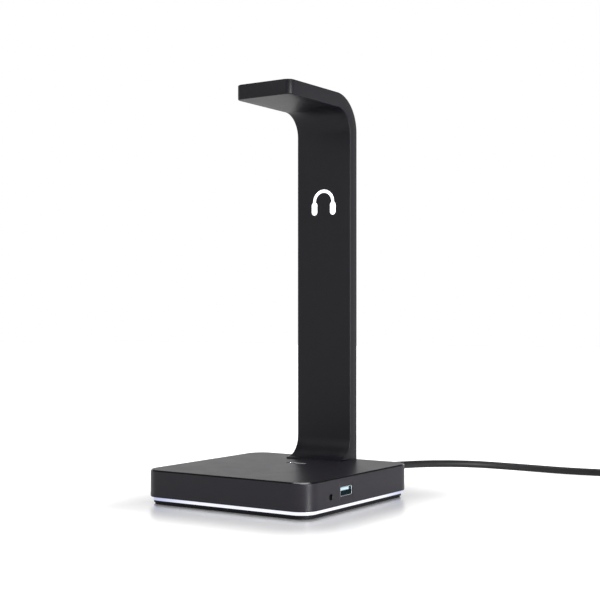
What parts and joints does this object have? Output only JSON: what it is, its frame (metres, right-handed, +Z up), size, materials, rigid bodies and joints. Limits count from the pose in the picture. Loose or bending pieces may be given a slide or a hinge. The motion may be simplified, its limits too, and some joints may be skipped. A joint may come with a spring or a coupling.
{
  "type": "headphone stand",
  "caption": "Headphone stand: square lit base with audio and USB sockets, and a bent metal column whose arm carries the headband.",
  "frame": {"origin": "under the centre of the base, on the surface that it stands on", "axes": "+Z up, -Y the front over which the arm reaches, +X the side with the sockets"},
  "size_m": [0.3137, 0.2962, 0.275],
  "materials": {
    "housing_metal": "satin black powder coat",
    "plate_plastic": "fine moulded texture",
    "pad_rubber": "matt",
    "light_guide": "clear diffusing moulding, lit from behind",
    "board": "solder mask",
    "lamp": "moulded lamp, lit",
    "screw_steel": "zinc plated",
    "ballast_steel": "blackened steel bar",
    "socket_steel": "plated sheet",
    "tongue_plastic": "moulded blue",
    "contact_gold": "gold plated",
    "black_plastic": "moulded",
    "white_plastic": "moulded",
    "can_metal": "drawn",
    "cable_rubber": "soft jacket",
    "tie_fabric": "hook and loop",
    "wire_plastic": "insulation"
  },
  "bodies": {
    "root": {"base_housing": "housing_metal", "stem": "housing_metal", "stem_cover": "housing_metal", "base_plate": "plate_plastic", "rubber_pad": "pad_rubber", "light_ring": "light_guide", "ring_led_boards": "board", "ring_leds": "lamp", "ballast_plate": "ballast_steel", "base_screws": "screw_steel", "stem_screws": "screw_steel", "board_screws": "screw_steel", "clamp_screws": "screw_steel", "main_board": "board", "board_chips": "black_plastic", "board_capacitors": "can_metal", "board_crystal": "can_metal", "side_usb_shell": "socket_steel", "side_usb_insulator": "tongue_plastic", "side_usb_contacts": "contact_gold", "top_usb_shell": "socket_steel", "top_usb_insulator": "tongue_plastic", "top_usb_contacts": "contact_gold", "audio_jack_body": "black_plastic", "audio_jack_contacts": "contact_gold", "emblem_light_guide": "light_guide", "emblem_board": "board", "emblem_leds": "lamp", "emblem_ribbon": "wire_plastic", "ribbon_header": "white_plastic", "strain_relief": "cable_rubber", "inner_lead": "cable_rubber", "lead_wires": "wire_plastic", "cable_header": "white_plastic", "cable_clamp": "socket_steel", "usb_cable": "cable_rubber", "cable_coil": "cable_rubber", "cable_tail": "cable_rubber", "cable_tie": "tie_fabric", "plug_grip": "cable_rubber", "plug_shell": "socket_steel", "plug_insert": "black_plastic", "plug_contacts": "contact_gold"}
  },
  "joints": []
}
